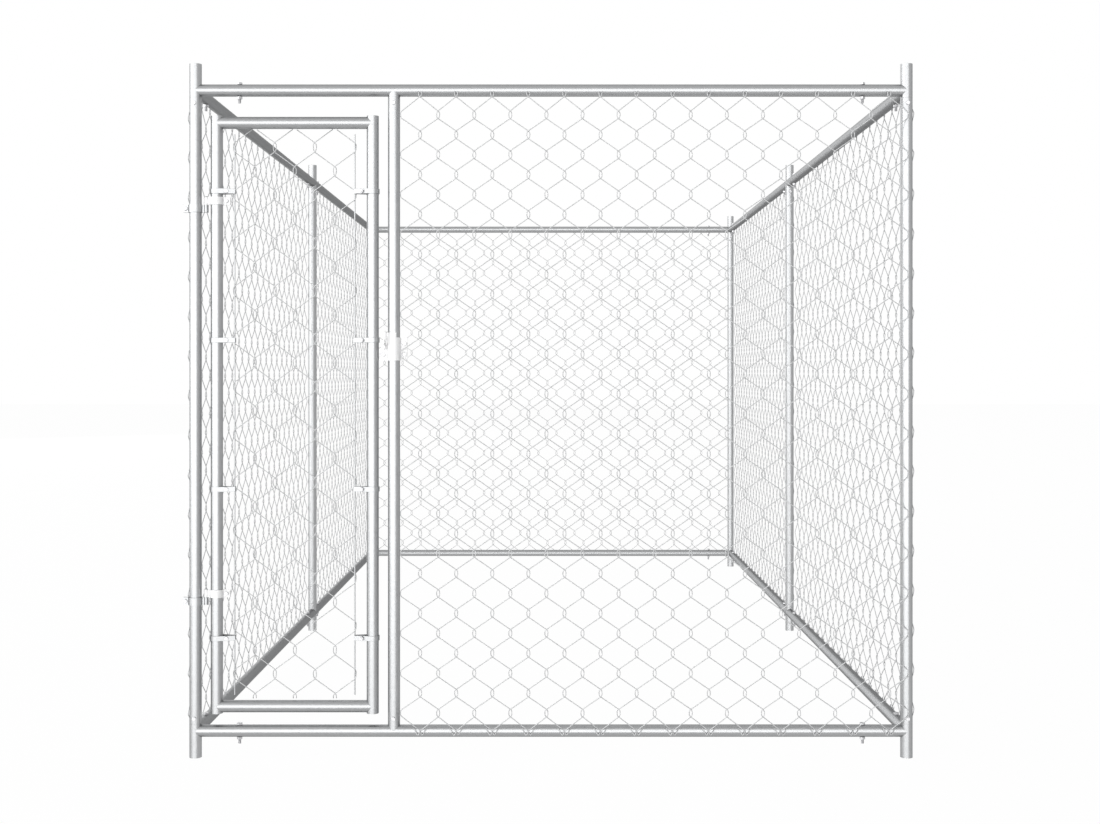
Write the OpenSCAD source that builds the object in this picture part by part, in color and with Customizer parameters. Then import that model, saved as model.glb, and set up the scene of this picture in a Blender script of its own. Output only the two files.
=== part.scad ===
// Outdoor dog kennel run: a bolted tube frame with chain-link nets and one gate.
// X runs across the front, Y from the front to the rear, and Z is up.
// The origin is on the ground, at the middle of the six posts.

/* [Run] */
// Width between the corner post axes
run_w = 1888; // [1600:2:2400]
// Length between the front and the rear post axes
run_l = 3788; // [3000:2:4600]
// Height of the posts
post_h = 1840; // [1700:5:2100]
// Distance from each end of a post to the rail axis
rail_inset = 70; // [60:1:85]

/* [Tubes] */
// Outer diameter of every tube
tube_d = 32; // [30:0.5:34]
// Wall of every tube
tube_wall = 1.5; // [1:0.1:2]
// Wall of the spigots inside the tubes
spigot_wall = 2; // [1.5:0.1:4]
// Radial gap between a spigot and the tube that slips over it
spigot_gap = 0.3; // [0.1:0.05:0.5]
// Gap between a tube end and the piece that it meets
joint_gap = 0.2; // [0.1:0.05:0.4]
// Reach of a rail spigot from the post axis
rail_spigot = 145; // [135:1:180]
// Reach of an upright spigot from the rail axis
post_spigot = 60; // [50:1:90]
// Distance from the rail's edge to the seam between a fitting and its post tube
seam_margin = 4; // [2:0.5:6]

/* [Frame bolts] */
// Shank diameter of the bolts through the rails
frame_bolt_d = 8; // [6:0.5:9]
// Width across the flats of their heads and nuts
frame_bolt_flats = 13; // [11:0.5:15]
// Height of their heads
frame_head_h = 5.3; // [4:0.1:7]
// Height of their nuts
frame_nut_h = 6.5; // [5:0.1:8]
// Length of thread that stands past a nut
frame_bolt_end = 11; // [4:0.5:14]
// Distance from a post axis to the bolts through the rails
rail_bolt_off = 117; // [105:1:125]
// Distance from a rail axis to the bolts through the posts
post_bolt_off = 35; // [32:0.5:42]

/* [Chain link] */
// Diameter of the net wire
wire_d = 2.5; // [1.6:0.1:2.6]
// Wires in a side or rear net
bay_wire_count = 26; // [20:2:28]
// Wires in the net beside the gate
front_wire_count = 18; // [12:2:20]
// Legs in the zigzag of each wire
net_leg_count = 22; // [16:2:24]
// Distance from the column line to a wire's bends
wire_hook = 4; // [3:0.5:4.5]
// Length of the straight wire ends, up to the rail axis
net_tail = 20; // [17:1:30]
// Angle that the wire ends bend on along the front of the rails
net_turn = 25; // [15:5:60]
// Gap between the nets and the tubes behind them
net_gap = 0.3; // [0.2:0.05:0.6]
// Gap between the two layers of wires
layer_gap = 0.4; // [0.2:0.05:0.8]
// Distance from a post axis to a net's first column
net_margin = 6; // [6:0.5:12]
// Distance from the latch post axis to the front net's first column
front_net_off = 28; // [26:1:40]

/* [Gate] */
// Distance between the stile axes
gate_w = 414; // [380:2:500]
// Gap between the gate and the posts on both sides
gate_gap = 24.5; // [23:0.5:30]
// Gap between the bottom rail and the gate
gate_sill = 31; // [15:1:50]
// Gap between the gate and the top rail
gate_head = 52; // [20:1:70]
// Distance from the stile ends to the gate rail axes
gate_rail_inset = 18; // [17:0.5:30]
// Wires in the gate net
gate_wire_count = 6; // [4:2:8]
// Legs in the zigzag of each gate wire
gate_leg_count = 24; // [18:2:26]
// Distance from the column line to the bends of the gate wires
gate_hook = 3.1; // [2.9:0.1:3.3]
// Distance from the gate's lower end to its net
gate_net_inset = 39; // [36:1:60]

/* [Tension rods and bands] */
// Diameter of the tension rods
rod_d = 3.5; // [3:0.1:4]
// Gap between a rod and the wires round it
rod_gap = 0.3; // [0.2:0.05:0.5]
// Distance from a stile axis to its tension rod
rod_off = 47.5; // [46:0.5:54]
// Distance from the gate's ends to the rod ends
rod_inset = 48; // [38:1:70]
// Bands on each stile
band_count = 4; // [3:1:5]
// Distance from the gate's ends to the outer bands
band_inset = 200; // [180:5:215]
// Height of a band
band_h = 13; // [11:0.5:15]
// Thickness of a band
band_wall = 2; // [1.5:0.1:2.5]
// Gap between the gate net and the ears of the bands
band_ear_gap = 0.45; // [0.3:0.05:1]
// Distance from a stile axis to the band bolts
band_bolt_off = 28; // [27:0.5:31]

/* [Hinges] */
// Distance from the gate's lower edge to the lower hinge seat
hinge_rise = 307.5; // [240:0.5:400]
// Distance from the gate's upper edge to the upper hinge seat
hinge_drop = 236; // [230:0.5:380]
// Diameter of the hinge pins
hinge_pin_d = 7; // [6:0.5:8]
// Length of the hinge pins
hinge_pin_l = 43; // [42:1:60]
// Radial clearance of the pins in their eyes
pin_clearance = 0.05; // [0.02:0.01:0.1]
// Height of a clamp
clamp_h = 20; // [16:1:22]
// Thickness of a clamp
clamp_wall = 3; // [2.5:0.1:3.3]
// Gap between a clamp and its tube
clamp_gap = 0.15; // [0.1:0.05:0.3]
// Wall of a hinge eye
eye_wall = 2.5; // [2:0.1:3]
// Gap between the two halves of a hinge
seat_gap = 0.3; // [0.2:0.05:0.5]
// Reach of the post clamp's ears from the post axis
post_ear = 32.5; // [31:0.5:38]
// Reach of the gate clamp's ears from the stile axis
gate_ear = 36; // [33:0.5:38]
// Distance from a tube axis to its clamp bolt
clamp_bolt_off = 26; // [25:0.5:27]
// Slot between a clamp's ears
ear_slot = 3; // [2:0.5:4]

/* [Clip bolts] */
// Shank diameter of the bolts in posts, clamps, bands and collar
clip_bolt_d = 6; // [5:0.5:6.5]
// Width across the flats of their heads and nuts
clip_bolt_flats = 10; // [8:0.5:10.5]
// Height of their heads
clip_head_h = 4; // [3:0.1:5]
// Height of their nuts
clip_nut_h = 5; // [4:0.1:6]
// Length of thread that stands past a nut
clip_bolt_end = 3; // [1:0.5:6]
// Radial gap round the bolt shanks
bolt_gap = 0.2; // [0.1:0.05:0.4]
// Gap under the bolt heads and nuts
bolt_seat = 0.1; // [0.05:0.05:0.3]

/* [Latch] */
// Height of the fork's pivot pin
latch_z = 1088; // [900:1:1150]
// Height of the collar
collar_h = 74; // [70:1:90]
// Height of the pivot pin above the collar's lower edge
collar_low = 35; // [33:1:45]
// Thickness of the collar
collar_wall = 3; // [2:0.1:3.5]
// Gap between the two halves of the collar
collar_split = 0.8; // [0.4:0.1:1.5]
// Reach of the collar's plain flange from the post axis
flange_reach = 36; // [34:0.5:42]
// Distance from the post axis to the collar bolts
collar_bolt_off = 28; // [27:0.5:29]
// Distance from the collar's ends to its bolts
collar_bolt_inset = 16; // [13:0.5:18]
// Drop of the collar's plain side below its top
side_drop = 13; // [6:1:16]
// Distance from the post axis to that drop
drop_off = 8; // [4:0.5:12]
// Distance from the post axis to the pivot pin
pivot_off = 27; // [26.5:0.5:27.5]
// Diameter of the pivot pin
pivot_pin_d = 6; // [5:0.5:6.5]
// Radius of the flange round the pivot pin
pivot_r = 6.6; // [5:0.1:6.7]
// Reach of the fork's rest past the pivot pin
rest_reach = 11.5; // [10:0.5:12]
// Thickness of the fork
fork_t = 3; // [2:0.1:4]
// Reach of the fork from the pivot pin
fork_reach = 43; // [36:1:50]
// Width of a prong
prong_w = 8; // [6:0.5:10]
// Gap between the prongs and the gate stile
prong_gap = 3; // [1:0.5:5]
// Distance from the pivot pin to the near edge of the fork's bridge
bridge_near = 7.2; // [7:0.1:7.6]
// Width of the fork's bridge
bridge_w = 5.3; // [4:0.1:5.5]
// Gap between the fork's eyes and the collar
fork_side_gap = 0.8; // [0.4:0.1:1.5]
// Length of each eye of the fork
fork_eye_l = 8; // [6:0.5:10]
// Wall of the fork's eyes
fork_eye_wall = 2.5; // [2:0.1:3]
// Thickness of the pivot pin's heads
pin_head_t = 2; // [1:0.5:3]
// Angle that the fork is lifted to
fork_lift = 98; // [95:1:98]

/* [Hidden] */
$fn = 64;

// Colours of the tubes, of the wire, and of clamps, bands and bolts
tube_grey = [0.74, 0.75, 0.76];
wire_grey = [0.82, 0.83, 0.84];
zinc_white = [0.93, 0.93, 0.93];

// Length by which cutting shapes run past what they cut
cut = 1;

// Tubes and spigots
tube_r = tube_d / 2;
tube_bore = tube_d - 2 * tube_wall;
spigot_d = tube_bore - 2 * spigot_gap;
spigot_bore = spigot_d - 2 * spigot_wall;
rail_low = rail_inset;
rail_high = post_h - rail_inset;
seam_off = tube_r + seam_margin;
post_tube_base = rail_inset + seam_off + joint_gap;
frame_hole = frame_bolt_d + 2 * bolt_gap;
clip_hole = clip_bolt_d + 2 * bolt_gap;

// Places across the front: hinge pin, stiles and latch post
stile_off = tube_d + gate_gap;
hinge_off = stile_off / 2;
front_y = -run_l / 2;
corner_x = -run_w / 2;
hinge_x = corner_x + hinge_off;
hinge_stile_x = corner_x + stile_off;
latch_stile_x = hinge_stile_x + gate_w;
latch_x = latch_stile_x + stile_off;
gate_base = rail_low + tube_r + gate_sill;
gate_top = rail_high - tube_r - gate_head;
gate_h = gate_top - gate_base;
hinge_seats = [gate_base + hinge_rise, gate_top - hinge_drop];

// Clamps and collar
clamp_r = tube_r + clamp_gap + clamp_wall;
ear_y = ear_slot / 2 + clamp_wall;
eye_r = hinge_pin_d / 2 + pin_clearance + eye_wall;
collar_r = tube_r + clamp_gap + collar_wall;
flange_y = collar_split / 2 + collar_wall;
side_top = collar_h - collar_low - side_drop;
bridge_far = bridge_near + bridge_w;
prong_in = tube_r + prong_gap;
prong_out = prong_in + prong_w;
fork_eye_y = flange_y + fork_side_gap;
fork_eye_end = fork_eye_y + fork_eye_l;
fork_eye_r = pivot_pin_d / 2 + pin_clearance + fork_eye_wall;

// Gate net: the wires run in front of and behind the tension rods
gate_wire_in = rod_d / 2 + rod_gap;
gate_wire_out = gate_wire_in + wire_d;
rod_hook = gate_wire_in + wire_d / 2;
gate_column = (gate_w - 2 * rod_off) / gate_wire_count;
gate_row = (gate_h - gate_rail_inset - gate_net_inset) / gate_leg_count;
// Share of the last leg, which stops under the top rail
last_leg = 1 - (tube_r + net_gap) / gate_row;
band_ear_y = gate_wire_out + band_ear_gap;
band_out_y = band_ear_y + band_wall;
band_reach = rod_off + rod_d / 2 + rod_gap;

// Places of posts and rails. Side is -1 on the left and 1 on the right.
// Bay is -1 at the front, 0 midway and 1 at the rear. Level is -1 at the bottom and 1 at the top.
function post_x(side) = side * run_w / 2;
function post_y(bay) = bay * run_l / 2;
function rail_z(level) = level > 0 ? rail_high : rail_low;
function post_bolt_z(level) = rail_z(level) - level * post_bolt_off;

// Cylinder along Y, centred on its axis
module across(h, d) {
  rotate([90, 0, 0]) cylinder(h = h, d = d, center = true);
}

// Hexagon bolt along Z with its nut: the head stands on z = 0, and the grip lies below it
module bolt_with_nut(d, flats, head_h, nut_h, grip, end) {
  corners = flats / cos(30);
  cylinder(h = head_h, d = corners, $fn = 6);
  translate([0, 0, -grip - nut_h - end]) cylinder(h = grip + nut_h + end + head_h / 2, d = d);
  translate([0, 0, -grip - nut_h]) difference() {
    cylinder(h = nut_h, d = corners, $fn = 6);
    translate([0, 0, -cut]) cylinder(h = nut_h + 2 * cut, d = d + 2 * bolt_gap);
  }
}

// Frame bolt through one tube, centred on the tube axis
module frame_bolt() {
  translate([0, 0, tube_r + bolt_seat])
    bolt_with_nut(frame_bolt_d, frame_bolt_flats, frame_head_h, frame_nut_h, tube_d + 2 * bolt_seat,
      frame_bolt_end);
}

// Clip bolt along Y through a stack of the given half thickness, with its head at the front
module clip_bolt(half) {
  rotate([90, 0, 0]) translate([0, 0, half + bolt_seat])
    bolt_with_nut(clip_bolt_d, clip_bolt_flats, clip_head_h, clip_nut_h, 2 * (half + bolt_seat),
      clip_bolt_end);
}

// Post tube between its two fittings
module post(side, bay) {
  h = post_h - 2 * post_tube_base;
  translate([post_x(side), post_y(bay), 0]) difference() {
    translate([0, 0, post_tube_base]) cylinder(h = h, d = tube_d);
    translate([0, 0, post_tube_base - cut]) cylinder(h = h + 2 * cut, d = tube_bore);
    for (level = [-1, 1])
      translate([0, 0, post_bolt_z(level)]) across(tube_d + 2 * cut, clip_hole);
  }
}

// Fitting with its free end up: open stub, upright spigot below, and a rail spigot at each given angle
module fitting_body(angles) {
  difference() {
    union() {
      translate([0, 0, -seam_off]) cylinder(h = seam_off + rail_inset, d = tube_d);
      translate([0, 0, -post_spigot]) cylinder(h = post_spigot, d = spigot_d);
      for (a = angles)
        rotate([0, 90, a]) cylinder(h = rail_spigot, d = spigot_d);
    }
    translate([0, 0, seam_off]) cylinder(h = rail_inset, d = tube_bore);
    translate([0, 0, -post_spigot - cut]) cylinder(h = post_spigot + seam_off + 2 * cut, d = spigot_bore);
    translate([0, 0, -post_bolt_off]) across(tube_d, clip_hole);
    for (a = angles) {
      rotate([0, 90, a]) translate([0, 0, tube_r]) cylinder(h = rail_spigot, d = spigot_bore);
      rotate([0, 0, a]) translate([rail_bolt_off, 0, 0]) cylinder(h = tube_d, d = frame_hole, center = true);
    }
  }
}

module fitting(side, bay, level) {
  corner_angles = [side > 0 ? 180 : 0, bay > 0 ? 270 : 90];
  translate([post_x(side), post_y(bay), rail_z(level)]) mirror([0, 0, level > 0 ? 0 : 1])
    fitting_body(bay == 0 ? [90, 270] : corner_angles);
}

// Solid that a tube end is shaped to: a tube along Z with the joint gap round it
module cope() {
  cylinder(h = 2 * tube_d, d = tube_d + 2 * joint_gap, center = true);
}

// Corner cut from a rail end at the origin, so that it clears the other rail, which runs along +Y
module mitre() {
  linear_extrude(2 * tube_d, center = true)
    polygon([[0, -joint_gap], [tube_d, tube_d - joint_gap], [0, tube_d - joint_gap]]);
}

// Rail along X between two post axes, centred, with shaped ends and its bolt holes.
// Corners lists the ends, -1 or 1, where another rail runs along +Y.
module rail(span, corners) {
  difference() {
    rotate([0, 90, 0]) cylinder(h = span, d = tube_d, center = true);
    rotate([0, 90, 0]) cylinder(h = span + 2 * cut, d = tube_bore, center = true);
    for (end = [-1, 1]) {
      translate([end * span / 2, 0, 0]) cope();
      translate([end * (span / 2 - rail_bolt_off), 0, 0])
        cylinder(h = tube_d + 2 * cut, d = frame_hole, center = true);
    }
    for (end = corners)
      translate([end * span / 2, 0, 0]) mirror([end > 0 ? 1 : 0, 0, 0]) mitre();
  }
}

// Short spigot on a front rail for the latch post, pointing up
module latch_spigot() {
  difference() {
    cylinder(h = post_spigot, d = spigot_d);
    rotate([0, 90, 0]) cylinder(h = 2 * tube_d, d = tube_d - tube_wall, center = true);
    translate([0, 0, tube_r]) cylinder(h = post_spigot, d = spigot_bore);
    translate([0, 0, post_bolt_off]) across(tube_d, clip_hole);
  }
}

module front_rail(level) {
  translate([0, front_y, rail_z(level)]) {
    rail(run_w, [-1, 1]);
    translate([latch_x, 0, 0]) mirror([0, 0, level > 0 ? 1 : 0]) latch_spigot();
  }
}

module rear_rail(level) {
  translate([0, -front_y, rail_z(level)]) rotate([0, 0, 180]) rail(run_w, [-1, 1]);
}

// Half is -1 for the rail from the front to the middle post and 1 for the rail from there to the rear
module side_rail(side, half, level) {
  translate([post_x(side), half * run_l / 4, rail_z(level)]) rotate([0, 0, side > 0 ? 90 : 270])
    rail(run_l / 2, [side * half]);
}

// One wire of a net: a zigzag of even legs that ends in straight tails, bent onto both rails.
// Wires lie in two layers by turns, and each bend reaches past its neighbour's at the shared column.
function wire_right(i, row) = (i + row) % 2 == 0;
function wire_x(i, row, column, hook) =
  wire_right(i, row) ? column * (i + 1) + hook : column * i - hook;

// Wire end that bends onto the bottom rail from its front side
module wire_end(radius) {
  rotate([0, 90, 0]) rotate([0, 0, 270]) rotate_extrude(angle = net_turn)
    translate([radius, -wire_d / 2]) square(wire_d);
}

module net_wire(i, column) {
  row_h = (rail_high - rail_low - 2 * net_tail) / net_leg_count;
  leg_w = column + 2 * wire_hook;
  // Half width of a leg, measured level, that makes it one wire diameter thick
  half_w = wire_d / 2 * norm([leg_w, row_h]) / row_h;
  radius = tube_r + net_gap + (i % 2) * (wire_d + layer_gap);
  bends = [for (row = [0:net_leg_count])
    [wire_x(i, row, column, wire_hook), rail_low + net_tail + row * row_h]];
  end_x = bends[0][0];
  side = concat([[end_x, rail_low, wire_d / 2]], [for (b = bends) [b[0], b[1], half_w]],
    [[end_x, rail_high, wire_d / 2]]);
  left = [for (p = side) [p[0] - p[2], p[1]]];
  right = [for (k = [len(side) - 1:-1:0]) [side[k][0] + side[k][2], side[k][1]]];
  translate([0, -radius, 0]) rotate([90, 0, 0]) linear_extrude(wire_d) polygon(concat(left, right));
  translate([end_x, 0, rail_low]) wire_end(radius);
  translate([end_x, 0, rail_high]) mirror([0, 0, 1]) wire_end(radius);
}

// Net along X on the front side of its rails, from one column line to another
module net(first, last, wires) {
  column = (last - first) / wires;
  translate([first, 0, 0])
    for (i = [0:wires - 1]) net_wire(i, column);
}

// Net of one bay, from the post at the given place along the given direction
module bay_net(x, y, angle, span) {
  translate([x, y, 0]) rotate([0, 0, angle]) net(net_margin, span - net_margin, bay_wire_count);
}

// Clamp round a tube, with a hinge eye on its right and two ears for the bolt on its left
module hinge_clamp(ear) {
  difference() {
    union() {
      cylinder(h = clamp_h, r = clamp_r);
      translate([-ear, -ear_y, 0]) cube([ear, 2 * ear_y, clamp_h]);
      translate([0, -hinge_pin_d / 2, 0]) cube([hinge_off, hinge_pin_d, clamp_h]);
      translate([hinge_off, 0, 0]) cylinder(h = clamp_h, r = eye_r);
    }
    translate([0, 0, -cut]) cylinder(h = clamp_h + 2 * cut, d = tube_d + 2 * clamp_gap);
    translate([hinge_off, 0, -cut]) cylinder(h = clamp_h + 2 * cut, d = hinge_pin_d + 2 * pin_clearance);
    translate([-ear - cut, -ear_slot / 2, -cut]) cube([ear + cut, ear_slot, clamp_h + 2 * cut]);
    translate([-clamp_bolt_off, 0, clamp_h / 2]) across(2 * ear_y + 2 * cut, clip_hole);
  }
}

module post_clamp(seat) {
  translate([corner_x, front_y, seat - clamp_h]) hinge_clamp(post_ear);
}

module gate_clamp(seat) {
  translate([hinge_stile_x, front_y, seat + seat_gap]) mirror([1, 0, 0]) hinge_clamp(gate_ear);
}

// Hinge pin with a tapered top
module hinge_pin(seat) {
  taper = hinge_pin_d / 6;
  translate([hinge_x, front_y, seat - clamp_h]) {
    cylinder(h = hinge_pin_l - taper, d = hinge_pin_d);
    translate([0, 0, hinge_pin_l - taper])
      cylinder(h = taper, d1 = hinge_pin_d, d2 = hinge_pin_d - 2 * taper);
  }
}

// Stile of the gate
module stile(x) {
  translate([x, front_y, gate_base]) difference() {
    cylinder(h = gate_h, d = tube_d);
    translate([0, 0, -cut]) cylinder(h = gate_h + 2 * cut, d = tube_bore);
  }
}

// Rail of the gate, shaped to both stiles
module gate_rail(z) {
  translate([(hinge_stile_x + latch_stile_x) / 2, front_y, z]) difference() {
    rotate([0, 90, 0]) cylinder(h = gate_w, d = tube_d, center = true);
    rotate([0, 90, 0]) cylinder(h = gate_w + 2 * cut, d = tube_bore, center = true);
    for (end = [-1, 1])
      translate([end * gate_w / 2, 0, 0]) cope();
  }
}

// One woven wire of the gate net: rising legs in front, falling legs behind, joined by a turn at each bend
function gate_bend_x(i, row) =
  let (at_rod = wire_right(i, row) ? i == gate_wire_count - 1 : i == 0)
  wire_x(i, row, gate_column, at_rod ? rod_hook : gate_hook);

module gate_wire(i) {
  for (row = [0:gate_leg_count - 1]) {
    a = [gate_bend_x(i, row), row * gate_row];
    bend = [gate_bend_x(i, row + 1), (row + 1) * gate_row];
    b = row < gate_leg_count - 1 ? bend : a + last_leg * (bend - a);
    half_w = [wire_d / 2 * norm(bend - a) / gate_row, 0];
    rising = !wire_right(i, row);
    translate([0, rising ? -gate_wire_in : gate_wire_out, 0]) rotate([90, 0, 0])
      linear_extrude(wire_d) polygon([a - half_w, a + half_w, b + half_w, b - half_w]);
    if (row > 0)
      translate([a[0] - wire_d / 2, -gate_wire_in, a[1] - wire_d])
        cube([wire_d, 2 * gate_wire_in, 2 * wire_d]);
  }
}

// Band round a stile, with two ears that reach past the tension rod
module tension_band() {
  difference() {
    union() {
      cylinder(h = band_h, r = tube_r + clamp_gap + band_wall, center = true);
      translate([0, -band_out_y, -band_h / 2]) cube([band_reach, 2 * band_out_y, band_h]);
    }
    cylinder(h = band_h + 2 * cut, r = tube_r + clamp_gap, center = true);
    translate([0, -band_ear_y, -band_h]) cube([band_reach + cut, 2 * band_ear_y, 2 * band_h]);
    translate([band_bolt_off, 0, 0]) across(2 * band_out_y + 2 * cut, clip_hole);
  }
}

// Places its children at every band, seen from the stile that carries it
module at_bands() {
  step = (gate_h - 2 * band_inset) / (band_count - 1);
  for (k = [0:band_count - 1]) {
    z = gate_base + band_inset + k * step;
    translate([hinge_stile_x, front_y, z]) children();
    translate([latch_stile_x, front_y, z]) rotate([0, 0, 180]) children();
  }
}

// Outline of the collar's left flange, with the rest for the fork and the corner round the pivot pin
module pivot_flange() {
  translate([-pivot_off - rest_reach, -collar_low])
    square([pivot_off + rest_reach, collar_low - fork_t / 2 - joint_gap]);
  translate([-pivot_off, -collar_low]) square([pivot_off, collar_low + pivot_r]);
  translate([-pivot_off, 0]) circle(r = pivot_r);
}

// Places its children at each collar bolt, from the pivot pin's height
module at_collar_bolts() {
  low = collar_bolt_inset - collar_low;
  high = side_top - collar_bolt_inset;
  translate([-collar_bolt_off, 0, low]) children();
  translate([collar_bolt_off, 0, low]) children();
  translate([collar_bolt_off, 0, high]) children();
}

// Half of the collar: face is -1 for the front half and 1 for the rear half
module collar_half(face) {
  depth = 2 * collar_r;
  translate([latch_x, front_y, latch_z]) difference() {
    union() {
      translate([0, 0, -collar_low]) cylinder(h = collar_h, r = collar_r);
      translate([0, -flange_y, -collar_low]) cube([flange_reach, 2 * flange_y, collar_h]);
      rotate([90, 0, 0]) linear_extrude(2 * flange_y, center = true) pivot_flange();
    }
    translate([0, 0, -collar_low - cut]) cylinder(h = collar_h + 2 * cut, d = tube_d + 2 * clamp_gap);
    translate([-2 * flange_reach, face > 0 ? collar_split / 2 - depth : -collar_split / 2, -collar_h])
      cube([4 * flange_reach, depth, 2 * collar_h]);
    translate([drop_off, -depth / 2, side_top]) cube([flange_reach, depth, side_drop + cut]);
    translate([-pivot_off, 0, 0]) across(depth, pivot_pin_d + 2 * pin_clearance);
    at_collar_bolts() across(depth, clip_hole);
  }
}

// Fork as it lies when it is closed, with its pivot at the origin
module fork_body() {
  difference() {
    union() {
      linear_extrude(fork_t, center = true) {
        translate([-bridge_far, -prong_out]) square([bridge_w, 2 * prong_out]);
        for (s = [-1, 1]) {
          translate([prong_w / 2 - fork_reach, s * (prong_in + prong_w / 2)]) circle(d = prong_w);
          translate([prong_w / 2 - fork_reach, s > 0 ? prong_in : -prong_out])
            square([fork_reach - prong_w / 2 - bridge_near, prong_w]);
          translate([-bridge_far, s > 0 ? fork_eye_y : -fork_eye_end]) square([bridge_far, fork_eye_l]);
        }
      }
      for (s = [-1, 1])
        translate([0, s * (fork_eye_y + fork_eye_l / 2), 0]) across(fork_eye_l, 2 * fork_eye_r);
    }
    across(2 * prong_out, pivot_pin_d + 2 * pin_clearance);
  }
}

module front_left_post() { color(tube_grey) post(-1, -1); }
module front_right_post() { color(tube_grey) post(1, -1); }
module middle_left_post() { color(tube_grey) post(-1, 0); }
module middle_right_post() { color(tube_grey) post(1, 0); }
module rear_left_post() { color(tube_grey) post(-1, 1); }
module rear_right_post() { color(tube_grey) post(1, 1); }
module front_left_top_fitting() { color(tube_grey) fitting(-1, -1, 1); }
module front_left_bottom_fitting() { color(tube_grey) fitting(-1, -1, -1); }
module front_right_top_fitting() { color(tube_grey) fitting(1, -1, 1); }
module front_right_bottom_fitting() { color(tube_grey) fitting(1, -1, -1); }
module middle_left_top_fitting() { color(tube_grey) fitting(-1, 0, 1); }
module middle_left_bottom_fitting() { color(tube_grey) fitting(-1, 0, -1); }
module middle_right_top_fitting() { color(tube_grey) fitting(1, 0, 1); }
module middle_right_bottom_fitting() { color(tube_grey) fitting(1, 0, -1); }
module rear_left_top_fitting() { color(tube_grey) fitting(-1, 1, 1); }
module rear_left_bottom_fitting() { color(tube_grey) fitting(-1, 1, -1); }
module rear_right_top_fitting() { color(tube_grey) fitting(1, 1, 1); }
module rear_right_bottom_fitting() { color(tube_grey) fitting(1, 1, -1); }
module front_top_rail() { color(tube_grey) front_rail(1); }
module front_bottom_rail() { color(tube_grey) front_rail(-1); }
module rear_top_rail() { color(tube_grey) rear_rail(1); }
module rear_bottom_rail() { color(tube_grey) rear_rail(-1); }
module left_front_top_rail() { color(tube_grey) side_rail(-1, -1, 1); }
module left_front_bottom_rail() { color(tube_grey) side_rail(-1, -1, -1); }
module left_rear_top_rail() { color(tube_grey) side_rail(-1, 1, 1); }
module left_rear_bottom_rail() { color(tube_grey) side_rail(-1, 1, -1); }
module right_front_top_rail() { color(tube_grey) side_rail(1, -1, 1); }
module right_front_bottom_rail() { color(tube_grey) side_rail(1, -1, -1); }
module right_rear_top_rail() { color(tube_grey) side_rail(1, 1, 1); }
module right_rear_bottom_rail() { color(tube_grey) side_rail(1, 1, -1); }

// Latch post, shaped to the front rails, on their short spigots
module latch_post() {
  color(tube_grey) translate([latch_x, front_y, 0]) difference() {
    translate([0, 0, rail_low]) cylinder(h = rail_high - rail_low, d = tube_d);
    translate([0, 0, rail_low - cut]) cylinder(h = rail_high - rail_low + 2 * cut, d = tube_bore);
    for (level = [-1, 1]) {
      translate([0, 0, rail_z(level)]) rotate([0, 90, 0]) cope();
      translate([0, 0, post_bolt_z(level)]) across(tube_d + 2 * cut, clip_hole);
    }
  }
}

// Bolts that stand through both ends of every rail
module rail_bolts() {
  cross_x = run_w / 2 - rail_bolt_off;
  side_y = run_l / 4 - rail_bolt_off;
  color(zinc_white) for (level = [-1, 1], s = [-1, 1], end = [-1, 1]) {
    translate([s * cross_x, end * run_l / 2, rail_z(level)]) frame_bolt();
    for (half = [-1, 1])
      translate([post_x(s), half * run_l / 4 + end * side_y, rail_z(level)]) frame_bolt();
  }
}

// Bolts that cross every post and the latch post, with their heads at the front
module post_bolts() {
  places = concat([for (s = [-1, 1], bay = [-1, 0, 1]) [post_x(s), post_y(bay)]], [[latch_x, front_y]]);
  color(zinc_white) for (p = places, level = [-1, 1])
    translate([p[0], p[1], post_bolt_z(level)]) clip_bolt(tube_r);
}

// Net beside the gate, from the latch post to the corner
module front_net() {
  color(wire_grey) translate([latch_x, front_y, 0])
    net(front_net_off, run_w / 2 - latch_x - net_margin, front_wire_count);
}

module rear_net() { color(wire_grey) bay_net(run_w / 2, run_l / 2, 180, run_w); }
module left_front_net() { color(wire_grey) bay_net(-run_w / 2, 0, 270, run_l / 2); }
module left_rear_net() { color(wire_grey) bay_net(-run_w / 2, run_l / 2, 270, run_l / 2); }
module right_front_net() { color(wire_grey) bay_net(run_w / 2, -run_l / 2, 90, run_l / 2); }
module right_rear_net() { color(wire_grey) bay_net(run_w / 2, 0, 90, run_l / 2); }
module upper_post_clamp() { color(zinc_white) post_clamp(hinge_seats[1]); }
module lower_post_clamp() { color(zinc_white) post_clamp(hinge_seats[0]); }
module upper_hinge_pin() { color(zinc_white) hinge_pin(hinge_seats[1]); }
module lower_hinge_pin() { color(zinc_white) hinge_pin(hinge_seats[0]); }

module post_clamp_bolts() {
  color(zinc_white) for (seat = hinge_seats)
    translate([corner_x - clamp_bolt_off, front_y, seat - clamp_h / 2]) clip_bolt(ear_y);
}

module gate_hinge_stile() { color(tube_grey) stile(hinge_stile_x); }
module gate_latch_stile() { color(tube_grey) stile(latch_stile_x); }
module gate_top_rail() { color(tube_grey) gate_rail(gate_top - gate_rail_inset); }
module gate_bottom_rail() { color(tube_grey) gate_rail(gate_base + gate_rail_inset); }

module gate_net() {
  color(wire_grey) translate([hinge_stile_x + rod_off, front_y, gate_base + gate_net_inset])
    for (i = [0:gate_wire_count - 1]) gate_wire(i);
}

module tension_rods() {
  color(zinc_white) for (x = [hinge_stile_x + rod_off, latch_stile_x - rod_off])
    translate([x, front_y, gate_base + rod_inset]) cylinder(h = gate_h - 2 * rod_inset, d = rod_d);
}

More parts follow.
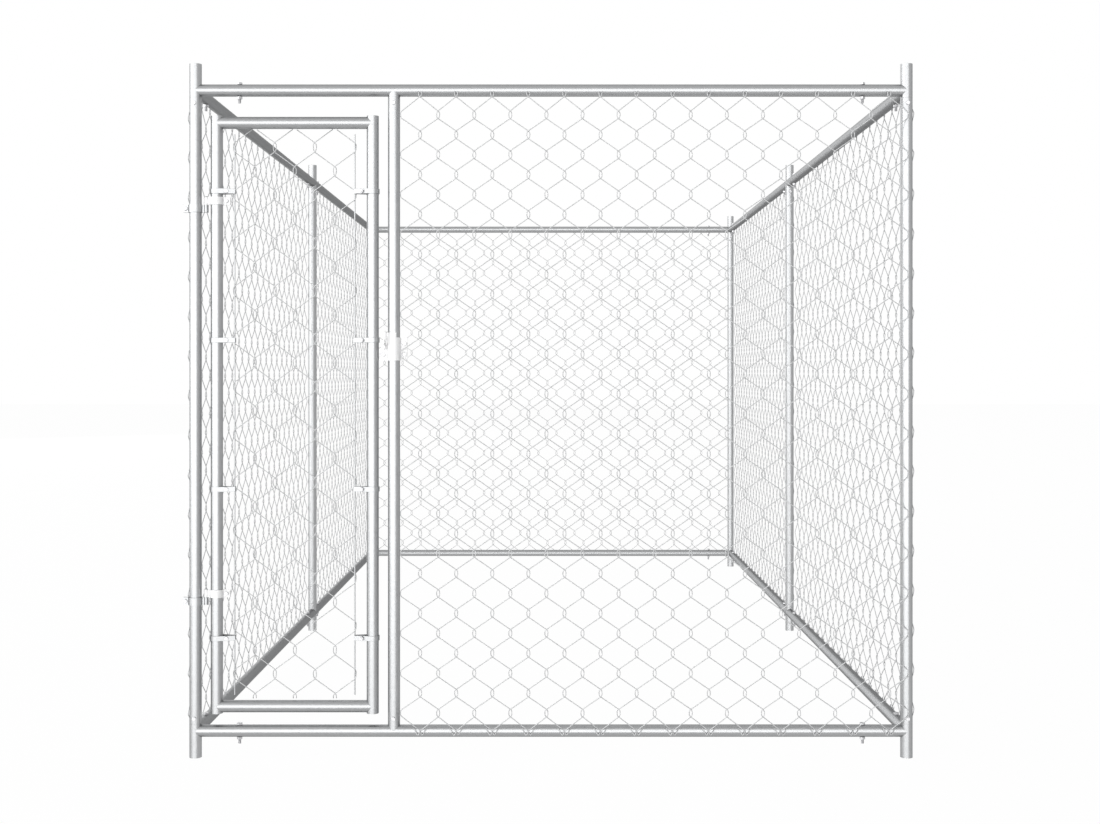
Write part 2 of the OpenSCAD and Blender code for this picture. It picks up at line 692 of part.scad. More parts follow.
module tension_bands() { color(zinc_white) at_bands() tension_band(); }
module band_bolts() { color(zinc_white) at_bands() translate([band_bolt_off, 0, 0]) clip_bolt(band_out_y); }
module upper_gate_clamp() { color(zinc_white) gate_clamp(hinge_seats[1]); }
module lower_gate_clamp() { color(zinc_white) gate_clamp(hinge_seats[0]); }

module gate_clamp_bolts() {
  color(zinc_white) for (seat = hinge_seats)
    translate([hinge_stile_x + clamp_bolt_off, front_y, seat + seat_gap + clamp_h / 2])
      clip_bolt(ear_y);
}

module collar_front() { color(zinc_white) collar_half(-1); }
module collar_rear() { color(zinc_white) collar_half(1); }

module collar_bolts() {
  color(zinc_white) translate([latch_x, front_y, latch_z]) at_collar_bolts() clip_bolt(flange_y);
}

// Rivet that the fork swings on
module pivot_pin() {
  color(zinc_white) translate([latch_x - pivot_off, front_y, latch_z]) {
    across(2 * (fork_eye_end + fork_side_gap) + pin_head_t, pivot_pin_d);
    for (s = [-1, 1])
      translate([0, s * (fork_eye_end + fork_side_gap + pin_head_t / 2), 0])
        across(pin_head_t, pivot_pin_d + 2 * fork_eye_wall);
  }
}

module latch_fork() {
  color(zinc_white) translate([latch_x - pivot_off, front_y, latch_z]) rotate([0, fork_lift, 0]) fork_body();
}

front_left_post();
front_right_post();
middle_left_post();
middle_right_post();
rear_left_post();
rear_right_post();
front_left_top_fitting();
front_left_bottom_fitting();
front_right_top_fitting();
front_right_bottom_fitting();
middle_left_top_fitting();
middle_left_bottom_fitting();
middle_right_top_fitting();
middle_right_bottom_fitting();
rear_left_top_fitting();
rear_left_bottom_fitting();
rear_right_top_fitting();
rear_right_bottom_fitting();
front_top_rail();
front_bottom_rail();
rear_top_rail();
rear_bottom_rail();
left_front_top_rail();
left_front_bottom_rail();
left_rear_top_rail();
left_rear_bottom_rail();
right_front_top_rail();
right_front_bottom_rail();
right_rear_top_rail();
right_rear_bottom_rail();
latch_post();
rail_bolts();
post_bolts();
front_net();
rear_net();
left_front_net();
left_rear_net();
right_front_net();
right_rear_net();
upper_post_clamp();
lower_post_clamp();
upper_hinge_pin();
lower_hinge_pin();
post_clamp_bolts();
gate_hinge_stile();
gate_latch_stile();
gate_top_rail();
gate_bottom_rail();
gate_net();
tension_rods();
tension_bands();
band_bolts();
upper_gate_clamp();
lower_gate_clamp();
gate_clamp_bolts();
collar_front();
collar_rear();
collar_bolts();
pivot_pin();
latch_fork();
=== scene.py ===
import math

import bpy
import numpy as np
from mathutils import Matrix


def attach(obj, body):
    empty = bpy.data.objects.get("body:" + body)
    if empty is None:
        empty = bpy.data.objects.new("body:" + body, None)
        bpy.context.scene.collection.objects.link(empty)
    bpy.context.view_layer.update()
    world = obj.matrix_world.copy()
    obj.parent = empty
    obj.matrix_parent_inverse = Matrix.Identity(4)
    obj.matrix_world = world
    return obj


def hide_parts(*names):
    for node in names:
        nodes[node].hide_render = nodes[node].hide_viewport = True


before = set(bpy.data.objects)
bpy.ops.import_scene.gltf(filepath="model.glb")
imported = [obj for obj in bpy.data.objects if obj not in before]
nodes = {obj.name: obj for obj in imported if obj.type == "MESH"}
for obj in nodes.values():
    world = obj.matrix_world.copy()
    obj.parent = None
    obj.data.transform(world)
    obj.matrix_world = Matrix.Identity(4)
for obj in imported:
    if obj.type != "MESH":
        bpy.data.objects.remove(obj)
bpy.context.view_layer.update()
print("frame loaded:", len(nodes), "nodes")

# places that the nets and the gate share with the frame, in metres
run = {"halfWidth": 0.944, "halfLength": 1.894, "railLow": 0.070, "railHigh": 1.770}
gate = {"hingeStile": -0.8875, "latchStile": -0.4735, "latchPost": -0.417}


def makeObject(name, verts, quads, caps=()):
    # whole arrays into one mesh: quads as rows of four, caps as rows of equal length
    mesh = bpy.data.meshes.new(name)
    groups = [np.asarray(g, np.int32) for g in (quads, caps) if len(g)]
    totals = np.concatenate([np.full(len(g), g.shape[1], np.int32) for g in groups])
    starts = np.concatenate([[0], np.cumsum(totals)[:-1]]).astype(np.int32)
    corners = np.concatenate([g.ravel() for g in groups])
    mesh.vertices.add(len(verts))
    mesh.vertices.foreach_set("co", np.asarray(verts, np.float32).ravel())
    mesh.loops.add(len(corners))
    mesh.loops.foreach_set("vertex_index", corners)
    mesh.polygons.add(len(totals))
    mesh.polygons.foreach_set("loop_start", starts)
    mesh.polygons.foreach_set("loop_total", totals)
    mesh.polygons.foreach_set("use_smooth", np.ones(len(totals), bool))
    mesh.update(calc_edges=True)
    mesh.validate()
    obj = bpy.data.objects.new(name, mesh)
    bpy.context.scene.collection.objects.link(obj)
    return obj


def sweepWires(paths, radius, sides):
    # each path carries a circle: ring = path + radius * (cos(a) * across + sin(a) * up), where across is
    # square to the path and to Y, and up completes the frame
    tangent = np.gradient(paths, axis=1)
    tangent /= np.linalg.norm(tangent, axis=2, keepdims=True)
    across = np.cross([0.0, 1.0, 0.0], tangent)
    across /= np.linalg.norm(across, axis=2, keepdims=True)
    up = np.cross(tangent, across)
    angle = np.arange(sides) * 2 * np.pi / sides
    ring = np.cos(angle)[:, None] * across[:, :, None, :] + np.sin(angle)[:, None] * up[:, :, None, :]
    verts = paths[:, :, None, :] + radius * ring
    count, steps = paths.shape[:2]
    index = np.arange(count * steps * sides).reshape(count, steps, sides)
    turned = np.roll(index, -1, axis=2)
    quads = np.stack([index[:, :-1], turned[:, :-1], turned[:, 1:], index[:, 1:]], axis=3).reshape(-1, 4)
    caps = np.concatenate([index[:, 0, ::-1], index[:, -1]])
    return verts.reshape(-1, 3), quads, caps


netWire = {
    "radius": 0.00125,
    "sides": 6,
    "hook": 0.0040,       # from the column line to the outside of a bend
    "eye": 0.0100,        # half height of the eye where two wires hook
    "sharpness": 3.6,     # higher makes the bend straighter at its middle
    "layer": 0.00135,     # from the net's middle to the rising and falling legs
    "offset": 0.0188,     # from the rail axis to the net's middle
    "column": 0.0477,     # from one column line to the next
    "firstRow": 0.0682,
    "rowStep": 0.05272,
    "rows": 32,
    "lowCross": 0.0740,   # height of the last crossings, on the bottom rails
    "highCross": 1.7503,  # the same on the top rails
    "highEnd": 0.0145,    # length of the wire ends past that crossing
    "fall": 0.0105,       # at the bottom the ends run on down, turn back and rise across the next wire
    "turn": 0.002,        # radius of that turn
    "rise": 0.019,
    "fallHeading": -69,   # in degrees above level
    "riseHeading": 62,
    "turnSteps": 8,
}
bendSteps = np.array([-1, -0.8, -0.45, 0, 0.45, 0.8, 1])   # from an eye's lower crossing to its upper one


def bendRows(count, start, column, rowHeights, hook, eye, sharpness, layer, phase=0):
    # one row of points per bend: x = column line + side * hook * (1 - |t| ** sharpness), y = side * layer *
    # sin(t * 90 degrees), z = row + t * eye, for t from -1 to 1; side is 1 at a right bend and -1 at a left
    t = bendSteps
    wires, rows = np.arange(count)[:, None], np.arange(len(rowHeights))[None, :]
    right = (wires + rows + phase) % 2 == 0
    side = np.where(right, 1.0, -1.0)[:, :, None]
    reach = np.broadcast_to(hook, side.shape[:2])[:, :, None]
    x = (start + column * (wires + right))[:, :, None] + side * reach * (1 - np.abs(t) ** sharpness)
    y = side * layer * np.sin(t * np.pi / 2)
    z = np.broadcast_to(np.asarray(rowHeights)[None, :, None] + t * eye, x.shape)
    return np.stack([x, y, z], axis=3), side


def highEnds(crossing, side, wire):
    # wire end past the last crossing, the lower half of a bend: s is the length above the crossing,
    # t = 1 - s / eye down to 0, x = crossing + side * hook * (1 - t ** sharpness), y = -side * layer *
    # sin(t * 90 degrees)
    opening = wire["eye"] * np.array([0.25, 0.6])
    s = np.concatenate([opening, np.linspace(wire["eye"], wire["highEnd"], 3)])
    t = np.clip(1 - s / wire["eye"], 0, 1)
    x = crossing[:, :1] + side * wire["hook"] * (1 - t ** wire["sharpness"])
    y = -wire["offset"] - side * wire["layer"] * np.sin(t * np.pi / 2)
    return np.stack(np.broadcast_arrays(x, y, crossing[:, 2:] + s), axis=2)


def lowHooks(crossing, side, wire):
    # wire end past the lowest crossing, by its heading h along the length s: x = sum(cos(h) * step) to the
    # far side, z = sum(sin(h) * step); h is steady, turns on a small circle, and is steady again
    bend = wire["turn"] * math.radians(wire["riseHeading"] - wire["fallHeading"])
    marks = np.cumsum([0, wire["fall"], bend, wire["rise"]])
    turning = np.linspace(marks[1], marks[2], wire["turnSteps"])
    s = np.concatenate([[0, marks[1] / 2], turning, [marks[3]]])
    heading = np.interp(s, marks, [wire["fallHeading"]] * 2 + [wire["riseHeading"]] * 2)
    middle = np.radians(heading[1:] + heading[:-1]) / 2
    x = crossing[:, :1] + side * np.cumsum(np.cos(middle) * np.diff(s))
    z = crossing[:, 2:] + np.cumsum(np.sin(middle) * np.diff(s))
    return np.stack(np.broadcast_arrays(x, crossing[:, 1:2], z), axis=2)


def netPaths(count, start, phase):
    wire = netWire
    heights = wire["firstRow"] + wire["rowStep"] * np.arange(wire["rows"] + 1)
    heights[0], heights[-1] = wire["lowCross"] - wire["eye"], wire["highCross"] + wire["eye"]
    bends, side = bendRows(count, start, wire["column"], heights, wire["hook"], wire["eye"],
                           wire["sharpness"], wire["layer"], phase)
    bends[..., 1] -= wire["offset"]
    low = lowHooks(bends[:, 0, -1], side[:, 0], wire)
    high = highEnds(bends[:, -1, 0], side[:, -1], wire)
    middle = bends[:, 1:-1].reshape(count, -1, 3)
    return np.concatenate([low[:, ::-1], bends[:, 0, -1:], middle, bends[:, -1, :1], high], axis=1)


def makeNet(name, node, count, start, origin, angle, phase=0):
    # start is the distance of the first column line from the post on the left, seen from outside, and phase 1
    # begins with left bends
    verts, quads, caps = sweepWires(netPaths(count, start, phase), netWire["radius"], netWire["sides"])
    c, s = math.cos(math.radians(angle)), math.sin(math.radians(angle))
    placed = verts @ np.array([[c, s, 0], [-s, c, 0], [0, 0, 1]]) + np.array([origin[0], origin[1], 0])
    obj = makeObject(name, placed, quads, caps)
    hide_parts(node)
    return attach(obj, "frame")


halfWidth, halfLength = run["halfWidth"], run["halfLength"]
latch = gate["latchPost"]
netPlaces = {   # angle turns a net about its origin, the post on its left, in degrees
    "frontWires": {"node": "front_net", "count": 28, "start": 0.0231,
                   "origin": (latch, -halfLength), "angle": 0},
    "rearWires": {"node": "rear_net", "count": 39, "start": 0.0092,
                  "origin": (halfWidth, halfLength), "angle": 180},
    "leftFrontWires": {"node": "left_front_net", "count": 39, "start": 0.0297,
                       "origin": (-halfWidth, 0), "angle": 270, "phase": 1},
    "leftRearWires": {"node": "left_rear_net", "count": 39, "start": 0.0169,
                      "origin": (-halfWidth, halfLength), "angle": 270},
    "rightFrontWires": {"node": "right_front_net", "count": 39, "start": 0.0035,
                        "origin": (halfWidth, -halfLength), "angle": 90},
    "rightRearWires": {"node": "right_rear_net", "count": 39, "start": 0.0169,
                       "origin": (halfWidth, 0), "angle": 90},
}
nets = [makeNet(name, **place) for name, place in netPlaces.items()]
print("frame nets:", sum(len(n.data.polygons) for n in nets), "faces")

gateWire = {
    "radius": 0.00125,
    "sides": 6,
    "count": 6,
    "rodOffset": 0.0475,   # from the stile axis to the tension rod
    "hook": 0.0040,
    "rodHook": 0.00325,    # bend round a rod
    "eye": 0.0125,
    "sharpness": 3.4,
    "layer": 0.00325,      # legs pass in front of and behind the rods
    "firstRow": 0.1561,    # the wires are cut here, just above the bottom rail
    "rowStep": 0.0636,
    "rows": 23,            # bends above the first one
    "lastEnd": 0.0475,     # rise of the cut wire ends past the last bend, up to the top rail
}


def makeGateNet():
    g = gateWire
    start, end = gate["hingeStile"] + g["rodOffset"], gate["latchStile"] - g["rodOffset"]
    column = (end - start) / g["count"]
    heights = g["firstRow"] + g["rowStep"] * np.arange(g["rows"] + 2)
    wires, rows = np.arange(g["count"])[:, None], np.arange(len(heights))[None, :]
    right = (wires + rows) % 2 == 0
    atRod = np.where(right, wires == g["count"] - 1, wires == 0)
    hook = np.where(atRod, g["rodHook"], g["hook"])
    bends, side = bendRows(g["count"], start, column, heights, hook, g["eye"], g["sharpness"], g["layer"])
    low = bends[:, 0, len(bendSteps) // 2:]         # the first bend is cut at its middle
    last, top = bends[:, -2, -1], bends[:, -1, 0]   # the last leg is cut before its crossing
    share = (g["lastEnd"] - g["eye"]) / (g["rowStep"] - 2 * g["eye"])
    high = (last + (top - last) * share)[:, None]
    paths = np.concatenate([low, bends[:, 1:-1].reshape(g["count"], -1, 3), high], axis=1)
    verts, quads, caps = sweepWires(paths, g["radius"], g["sides"])
    obj = makeObject("gateWires", verts + np.array([0, -halfLength, 0]), quads, caps)
    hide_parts("gate_net")
    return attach(obj, "gate")


gateNet = makeGateNet()
print("gate net:", len(gateNet.data.polygons), "faces")


def joinParts(parts):
    # lists of (verts, quads, caps) into one, with their indices moved up
    starts = np.cumsum([0] + [len(verts) for verts, quads, caps in parts])
    verts = np.concatenate([part[0] for part in parts])
    quads = np.concatenate([part[1] + start for part, start in zip(parts, starts)])
    caps = np.concatenate([part[2] + start for part, start in zip(parts, starts)])
    return verts, quads, caps


def ringGrid(rings, closed=False):
    # rings of points, shaped (rings, sides, 3), skinned in order; open rows of rings get a cap at both ends
    count, sides = rings.shape[:2]
    index = np.arange(count * sides).reshape(count, sides)
    turned = np.roll(index, -1, axis=1)
    above = np.roll(index, -1, axis=0) if closed else index[1:]
    turnedAbove = np.roll(turned, -1, axis=0) if closed else turned[1:]
    last = count if closed else count - 1
    quads = np.stack([index[:last], turned[:last], turnedAbove, above], axis=2).reshape(-1, 4)
    caps = np.zeros((0, sides), int) if closed else np.stack([index[0, ::-1], index[-1]])
    return rings.reshape(-1, 3), quads, caps


band = {
    "inner": 0.01615,      # round the stile, with its clearance
    "wall": 0.002,
    "height": 0.013,
    "bevel": 0.0003,
    "reach": 0.04955,      # from the stile axis to the end of the legs, past the tension rod
    "endOffset": 0.006,    # from the net's middle to the middle of a leg's end
    "boltOffset": 0.028,
    "heights": (0.317, 0.712, 1.107, 1.502),
    "arcSteps": 49,
    "sharp": 35,           # edges past this angle stay sharp, in degrees
}
band["middle"] = band["inner"] + band["wall"] / 2
band["slant"] = (math.asin(band["middle"] / math.hypot(band["reach"], band["endOffset"]))
                 - math.atan2(band["endOffset"], band["reach"]))


def makeBands():
    # strip along leg, ring and leg: the ring is middle * (cos(a), sin(a)), and each leg leaves it on the
    # tangent; a bevelled rectangle, wall thick and height high, is carried along that line
    b = band
    arc = np.linspace(1.5 * np.pi + b["slant"], 0.5 * np.pi - b["slant"], b["arcSteps"])
    outward = np.stack([np.cos(arc), np.sin(arc)], axis=1)
    ends = np.array([[b["reach"], -b["endOffset"]], [b["reach"], b["endOffset"]]])
    line = np.concatenate([ends[:1], b["middle"] * outward, ends[1:]])
    outward = np.concatenate([outward[:1], outward, outward[-1:]])
    u, v, c = b["wall"] / 2, b["height"] / 2, b["bevel"]
    section = np.array([[u, c - v], [u, v - c], [u - c, v], [c - u, v],
                        [-u, v - c], [-u, c - v], [c - u, -v], [u - c, -v]])
    flat = line[:, None, :] + outward[:, None, :] * section[None, :, :1]
    level = np.broadcast_to(section[None, :, 1:], flat[:, :, :1].shape)
    verts, quads, caps = ringGrid(np.concatenate([flat, level], axis=2))
    parts = [(verts * [side, side, 1] + [x, -halfLength, z], quads, caps) for z in b["heights"]
             for side, x in ((1, gate["hingeStile"]), (-1, gate["latchStile"]))]
    obj = makeObject("slantedBands", *joinParts(parts))
    obj.data.set_sharp_from_angle(angle=math.radians(b["sharp"]))
    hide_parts("tension_bands")
    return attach(obj, "gate")


bands = makeBands()
print("bands:", len(bands.data.polygons), "faces")

bolt = {
    "frame": {"shank": 0.004, "flats": 0.013, "head": 0.0053, "nut": 0.0065, "end": 0.011,
              "pitch": 0.00125},
    "clip": {"shank": 0.003, "flats": 0.010, "head": 0.004, "nut": 0.005, "end": 0.003, "pitch": 0.001},
    "seat": 0.0001,        # gap under heads and nuts
    "bore": 0.0001,        # gap round the shank in a nut
    "sides": 24,
    "crown": 0.96,         # share of the flats that stays level on heads and nuts
    "cone": 30,            # slope of their bevel, in degrees
    "threadDepth": 0.55,   # share of the pitch
    "threadStart": 0.6,    # share of the depth at the bolt's end
    "threadSteps": 5,      # rings in each turn of the thread
    "sharp": 28,           # edges past this angle stay sharp, in degrees
}


def boltRings(radius, height):
    angle = np.arange(bolt["sides"]) * 2 * np.pi / bolt["sides"]
    radius, height, angle = np.broadcast_arrays(radius, height, angle)
    return np.stack([radius * np.cos(angle), radius * np.sin(angle), height], axis=2)


def boltParts(size, grip):
    # bolt along Z with its head above z = 0: the hexagon's radius is flats / 2 / cos(a), with a from the
    # middle of a flat, and a cone bevels its corners; the thread's radius is shank - depth *
    # (1 - cos(turn)) / 2
    angle = np.arange(bolt["sides"]) * 2 * np.pi / bolt["sides"]
    half = size["flats"] / 2
    hexagon = half / np.cos((angle + np.pi / 6) % (np.pi / 3) - np.pi / 6)
    crown = np.full_like(angle, half * bolt["crown"])
    drop = (hexagon - crown) * math.tan(math.radians(bolt["cone"]))
    flat = np.zeros_like(angle)
    head = boltRings(np.stack([hexagon, hexagon, crown]),
                     np.stack([flat, size["head"] - drop, flat + size["head"]]))
    hole = np.full_like(angle, size["shank"] + bolt["bore"])
    low, high = -grip - size["nut"], -grip
    nut = boltRings(np.stack([hole, crown, hexagon, hexagon, crown, hole]),
                    np.stack([flat + low, flat + low, low + drop, high - drop, flat + high, flat + high]))
    tip = low - size["end"]
    turns = np.arange(0, size["end"] / size["pitch"], 1 / bolt["threadSteps"])[:, None]
    depth = bolt["threadDepth"] * size["pitch"] * np.clip(turns, bolt["threadStart"], 1)
    thread = size["shank"] - depth * (0.5 - 0.5 * np.cos(2 * np.pi * turns - angle))
    climb = tip + turns * size["pitch"] + flat
    shank = boltRings(np.concatenate([thread, [hole - bolt["bore"]] * 2]),
                      np.concatenate([climb, [flat + low, flat + size["head"] / 2]]))
    return joinParts([ringGrid(head), ringGrid(shank), ringGrid(nut, closed=True)])


headings = {   # rows that turn the bolt's axis, with its head to that side
    "up": np.array([[1, 0, 0], [0, 1, 0], [0, 0, 1]]),
    "front": np.array([[1, 0, 0], [0, 0, 1], [0, -1, 0]]),
    "rear": np.array([[-1, 0, 0], [0, 0, 1], [0, 1, 0]]),
}


def makeBolts(name, node, body, kind, reach, groups):
    # reach is the distance from the middle of the grip to its outside; groups are (heading, places)
    half = reach + bolt["seat"]
    verts, quads, caps = boltParts(bolt[kind], 2 * half)
    verts = verts + [0, 0, half]
    parts = [(verts @ headings[heading] + np.array(place), quads, caps) for heading, places in groups
             for place in places]
    obj = makeObject(name, *joinParts(parts))
    obj.data.set_sharp_from_angle(angle=math.radians(bolt["sharp"]))
    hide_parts(node)
    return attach(obj, body)


boltPlaces = {
    "railOffset": 0.117,     # from a post axis along the rail
    "postOffset": 0.035,     # from a rail axis along the post
    "clampOffset": 0.026,    # from a tube axis to its clamp's bolt
    "postClamps": (0.4145, 1.456),
    "gateClamps": (0.4348, 1.4763),
    "clampReach": 0.0045,
    "collarOffset": 0.028,
    "collar": ((-1, 1.069), (1, 1.069), (1, 1.098)),   # side of the latch post, and height
    "collarReach": 0.0034,
    "tube": 0.016,
}


def makeAllBolts():
    b, levels, sides = boltPlaces, (run["railLow"], run["railHigh"]), (-1, 1)
    along, tube = b["railOffset"], b["tube"]
    rail = [(side * (halfWidth - along), end * halfLength, z)
            for z in levels for side in sides for end in sides]
    sideRuns = (along - halfLength, -along, along, halfLength - along)
    rail += [(side * halfWidth, y, z) for z in levels for side in sides for y in sideRuns]
    posts = [(side * halfWidth, y) for side in sides for y in (-halfLength, 0, halfLength)]
    posts += [(latch, -halfLength)]
    post = [(x, y, z) for x, y in posts for z in (levels[0] + b["postOffset"], levels[1] - b["postOffset"])]
    postClamp, gateClamp = -halfWidth - b["clampOffset"], gate["hingeStile"] + b["clampOffset"]
    postClamps = [(postClamp, -halfLength, z) for z in b["postClamps"]]
    gateClamps = [(gateClamp, -halfLength, z) for z in b["gateClamps"]]
    near = band["boltOffset"] - bolt["clip"]["flats"] / math.sqrt(3)   # side of the head that a leg meets
    bandReach = (band["inner"] + band["wall"] - near * math.sin(band["slant"])) / math.cos(band["slant"])
    hingeBands = [(gate["hingeStile"] + band["boltOffset"], -halfLength, z) for z in band["heights"]]
    latchBands = [(gate["latchStile"] - band["boltOffset"], -halfLength, z) for z in band["heights"]]
    collar = [(latch + side * b["collarOffset"], -halfLength, z) for side, z in b["collar"]]
    return [
        makeBolts("railBolts", "rail_bolts", "frame", "frame", tube, [("up", rail)]),
        makeBolts("postBolts", "post_bolts", "frame", "clip", tube, [("front", post)]),
        makeBolts("postClampBolts", "post_clamp_bolts", "frame", "clip", b["clampReach"],
                  [("front", postClamps)]),
        makeBolts("gateClampBolts", "gate_clamp_bolts", "gate", "clip", b["clampReach"],
                  [("front", gateClamps)]),
        makeBolts("bandBolts", "band_bolts", "gate", "clip", bandReach,
                  [("front", hingeBands), ("rear", latchBands)]),
        makeBolts("collarBolts", "collar_bolts", "frame", "clip", b["collarReach"], [("front", collar)]),
    ]


bolts = makeAllBolts()
print("bolts:", sum(len(o.data.polygons) for o in bolts), "faces")


def addNode(tree, kind, links=(), **values):
    node = tree.nodes.new(kind)
    for key, value in values.items():
        if key in node.inputs:
            node.inputs[key].default_value = value
        else:
            setattr(node, key, value)
    for socket, source in links:
        tree.links.new(source, node.inputs[socket])
    return node


finishes = {
    # tube zinc: darker than bare zinc, and that darkness is painted shade, standing in for dark surroundings
    # mirrored in the tube sides; the spangle and grain spread is the coat's own
    "tube": {"dark": (0.35, 0.355, 0.36), "light": (0.378, 0.383, 0.388), "grain": 90, "spangle": 140,
             "rough": (0.37, 0.39), "metallic": 1.0, "edge": 0.32, "bump": 0.003},
    "wire": {"dark": (0.505, 0.51, 0.515), "light": (0.615, 0.62, 0.625), "grain": 160, "spangle": 260,
             "rough": (0.54, 0.62), "metallic": 0.35, "edge": 0.6, "bump": 0.02},
    # fitting zinc: the same metal as the tubes painted nearly white, a painted reflection of the front
    # softbox on flat faces that also lifts their shaded sides
    "fitting": {"dark": (0.82, 0.82, 0.825), "light": (0.90, 0.90, 0.90), "grain": 220, "spangle": 320,
                "rough": (0.40, 0.50), "metallic": 0.15, "edge": 0.8, "bump": 0.03},
    "bolt": {"dark": (0.44, 0.44, 0.45), "light": (0.58, 0.58, 0.59), "grain": 260, "spangle": 420,
             "rough": (0.30, 0.40), "metallic": 0.7, "edge": 0.6, "bump": 0.02},
}


coat = {
    "toneEnds": (0.25, 0.8),   # where the tone reaches its dark and light ends
    "cloudSize": 8,            # times the grain's size
    "cloudDetail": 3.0,
    "grainDetail": 6.0,
    "bumpDepth": 0.001,
}


def makeFinish(name, f):
    # zinc coat: crystal cells set the tone, and fine noise sets roughness and a shallow bump
    material = bpy.data.materials.new(name)
    material.use_nodes = True
    tree = material.node_tree
    shader = tree.nodes["Principled BSDF"]
    shader.inputs["Metallic"].default_value = f["metallic"]
    shader.inputs["Specular Tint"].default_value = (f["edge"], f["edge"], f["edge"], 1)
    place = addNode(tree, "ShaderNodeTexCoord").outputs["Object"]
    cells = addNode(tree, "ShaderNodeTexVoronoi", [("Vector", place)], Scale=f["spangle"])
    cloud = addNode(tree, "ShaderNodeTexNoise", [("Vector", place)], Scale=f["grain"] / coat["cloudSize"],
                    Detail=coat["cloudDetail"])
    grain = addNode(tree, "ShaderNodeTexNoise", [("Vector", place)], Scale=f["grain"],
                    Detail=coat["grainDetail"])
    tone = addNode(tree, "ShaderNodeMix", [("Factor", cloud.outputs["Fac"]), ("A", cells.outputs["Color"]),
                                           ("B", grain.outputs["Fac"])])
    ramp = addNode(tree, "ShaderNodeValToRGB", [("Fac", tone.outputs["Result"])])
    darkEnd, lightEnd = ramp.color_ramp.elements
    darkEnd.position, lightEnd.position = coat["toneEnds"]
    darkEnd.color = (*f["dark"], 1)
    lightEnd.color = (*f["light"], 1)
    tree.links.new(ramp.outputs["Color"], shader.inputs["Base Color"])
    rough = addNode(tree, "ShaderNodeMapRange", [("Value", grain.outputs["Fac"])])
    rough.inputs["To Min"].default_value, rough.inputs["To Max"].default_value = f["rough"]
    tree.links.new(rough.outputs["Result"], shader.inputs["Roughness"])
    bump = addNode(tree, "ShaderNodeBump", [("Height", grain.outputs["Fac"])], Strength=f["bump"],
                   Distance=coat["bumpDepth"])
    tree.links.new(bump.outputs["Normal"], shader.inputs["Normal"])
    return material


materials = {name: makeFinish(name + "Zinc", f) for name, f in finishes.items()}


def finishOf(node):
    if node.endswith("_bolts"):
        return "bolt"
    # tube-like parts take the tube zinc with its painted shade; the other fittings take the fitting zinc with
    # its painted reflection
    tubes = ("_post", "_fitting", "_rail", "_stile", "_post_clamp", "_hinge_pin", "_rods", "_bands")
    return "tube" if node.endswith(tubes) else "fitting"


for name, obj in nodes.items():
    obj.data.materials.clear()
    obj.data.materials.append(materials[finishOf(name)])
for obj in [*nets, gateNet]:
    obj.data.materials.append(materials["wire"])
for obj in bolts:
    obj.data.materials.append(materials["bolt"])
bands.data.materials.append(materials["tube"])
print("finishes:", ", ".join(materials))

stage = {
    "floor": (0.93, 0.93, 0.93),
    "floorReach": 40.0,
    "floorDrop": 0.0005,    # below the posts' feet
    "floorRough": 0.9,
    "floorShare": 0.98,     # share of plain white in the floor that is seen, the rest takes light and shadow
    "world": 0.33,
}


def seenRay(tree):
    # 1 for camera, glossy and transmission rays, so that metal shows the white background too
    path = addNode(tree, "ShaderNodeLightPath").outputs
    direct = addNode(tree, "ShaderNodeMath", [(0, path["Is Camera Ray"]), (1, path["Is Glossy Ray"])],
                     operation="MAXIMUM")
    every = addNode(tree, "ShaderNodeMath", [(0, direct.outputs[0]), (1, path["Is Transmission Ray"])],
                    operation="MAXIMUM")
    return every.outputs[0]


def makeFloor():
    reach, z = stage["floorReach"], -stage["floorDrop"]
    verts = np.array([[-reach, -reach, z], [reach, -reach, z], [reach, reach, z], [-reach, reach, z]])
    floor = makeObject("floor", verts, [[0, 1, 2, 3]])
    material = bpy.data.materials.new("paleFloor")
    material.use_nodes = True
    tree = material.node_tree
    shader = tree.nodes["Principled BSDF"]
    shader.inputs["Base Color"].default_value = (*stage["floor"], 1)
    shader.inputs["Roughness"].default_value = stage["floorRough"]
    share = addNode(tree, "ShaderNodeMath", [(0, seenRay(tree))], operation="MULTIPLY")
    share.inputs[1].default_value = stage["floorShare"]
    white = addNode(tree, "ShaderNodeEmission", Strength=1.0)
    mix = addNode(tree, "ShaderNodeMixShader",
                  [(0, share.outputs[0]), (1, shader.outputs[0]), (2, white.outputs[0])])
    tree.links.new(mix.outputs[0], tree.nodes["Material Output"].inputs["Surface"])
    floor.data.materials.append(material)
    floor.visible_glossy = False   # the tubes mirror the white world, down to their feet


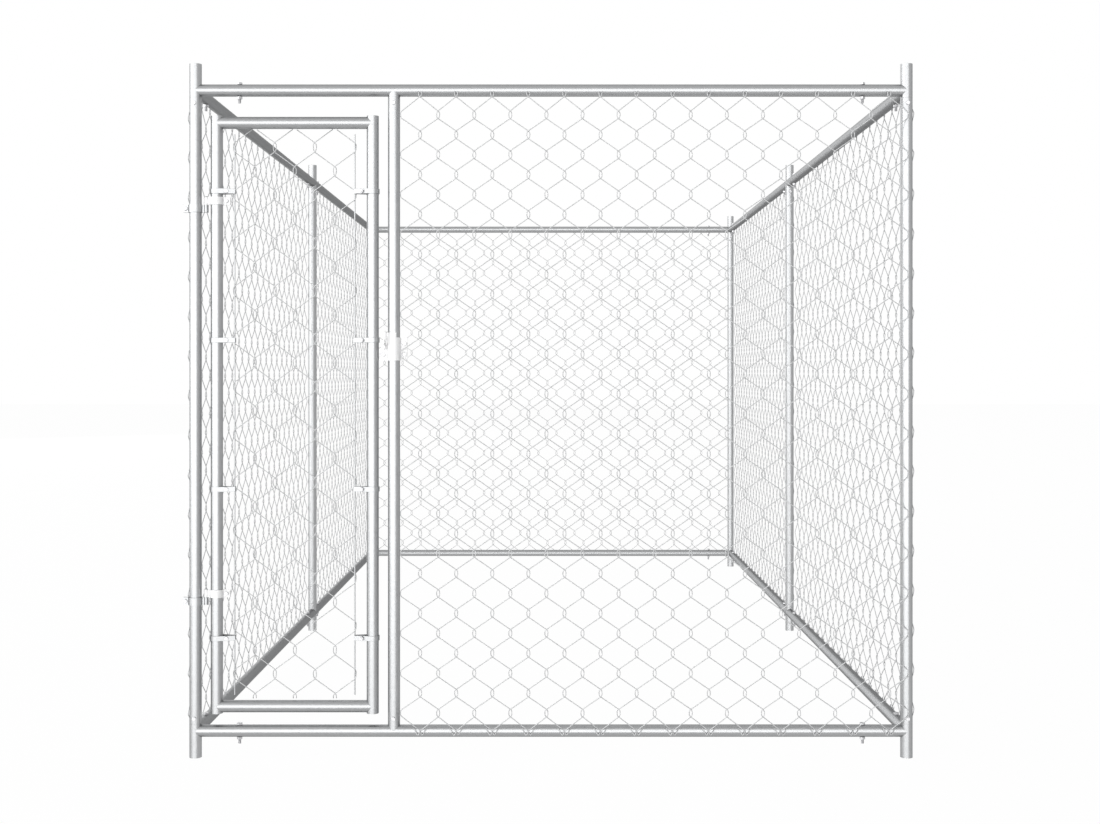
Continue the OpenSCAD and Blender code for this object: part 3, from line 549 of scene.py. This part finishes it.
def makeWorld():
    world = bpy.data.worlds.new("studio")
    bpy.context.scene.world = world
    world.use_nodes = True
    tree = world.node_tree
    plain = tree.nodes["Background"]
    plain.inputs["Strength"].default_value = stage["world"]
    plain.inputs["Color"].default_value = (1, 1, 1, 1)
    white = addNode(tree, "ShaderNodeBackground", Strength=1.0)
    white.inputs["Color"].default_value = (1, 1, 1, 1)
    mix = addNode(tree, "ShaderNodeMixShader",
                  [(0, seenRay(tree)), (1, plain.outputs[0]), (2, white.outputs[0])])
    tree.links.new(mix.outputs[0], tree.nodes["World Output"].inputs["Surface"])


# softboxes round the run: heading from the gate side to the right, and height above level, in degrees
lamps = {
    "front": {"aim": (0, -1.9, 0.95), "heading": -12, "rise": 1, "away": 16.0,
              "size": (28.5, 12.0), "power": 2990},
    "left": {"aim": (-0.9, -1.9, 0.95), "heading": -74, "rise": 17, "away": 16.0,
             "size": (12.8, 14.5), "power": 1750},
    "rear": {"aim": (0, 1.9, 0.95), "heading": -145, "rise": 12, "away": 16.0,
             "size": (17.5, 14.5), "power": 1600},
}


def makeLamp(name, lamp):
    light = bpy.data.lights.new(name, "AREA")
    light.shape, light.energy = "RECTANGLE", lamp["power"]
    light.size, light.size_y = lamp["size"]
    obj = bpy.data.objects.new(name, light)
    bpy.context.scene.collection.objects.link(obj)
    heading, rise = math.radians(lamp["heading"]), math.radians(lamp["rise"])
    level = math.cos(rise)
    reach = np.array([math.sin(heading) * level, -math.cos(heading) * level, math.sin(rise)])
    obj.location = np.array(lamp["aim"]) + reach * lamp["away"]
    obj.rotation_euler = (math.pi / 2 - rise, 0, heading)


photo = {"width": 1100, "height": 824, "focal": 1455.0, "vanishX": 551.0, "vanishY": 371.6,
         "eyeHeight": 1.0236, "distance": 3.865, "sensor": 36.0, "farClip": 200.0}


def makeCamera():
    data = bpy.data.cameras.new("eye")
    camera = bpy.data.objects.new("eye", data)
    bpy.context.scene.collection.objects.link(camera)
    data.sensor_width = photo["sensor"]
    data.lens = photo["focal"] * photo["sensor"] / photo["width"]
    data.shift_x = (photo["width"] / 2 - photo["vanishX"]) / photo["width"]
    data.shift_y = (photo["vanishY"] - photo["height"] / 2) / photo["width"]
    data.clip_end = photo["farClip"]
    camera.location = (0, -halfLength - photo["distance"], photo["eyeHeight"])
    camera.rotation_euler = (math.pi / 2, 0, 0)
    bpy.context.scene.camera = camera


makeFloor()
makeWorld()
for name, lamp in lamps.items():
    makeLamp(name, lamp)
makeCamera()
bpy.context.scene.view_settings.view_transform = "Standard"
print("stage: floor, world, lamps and camera")
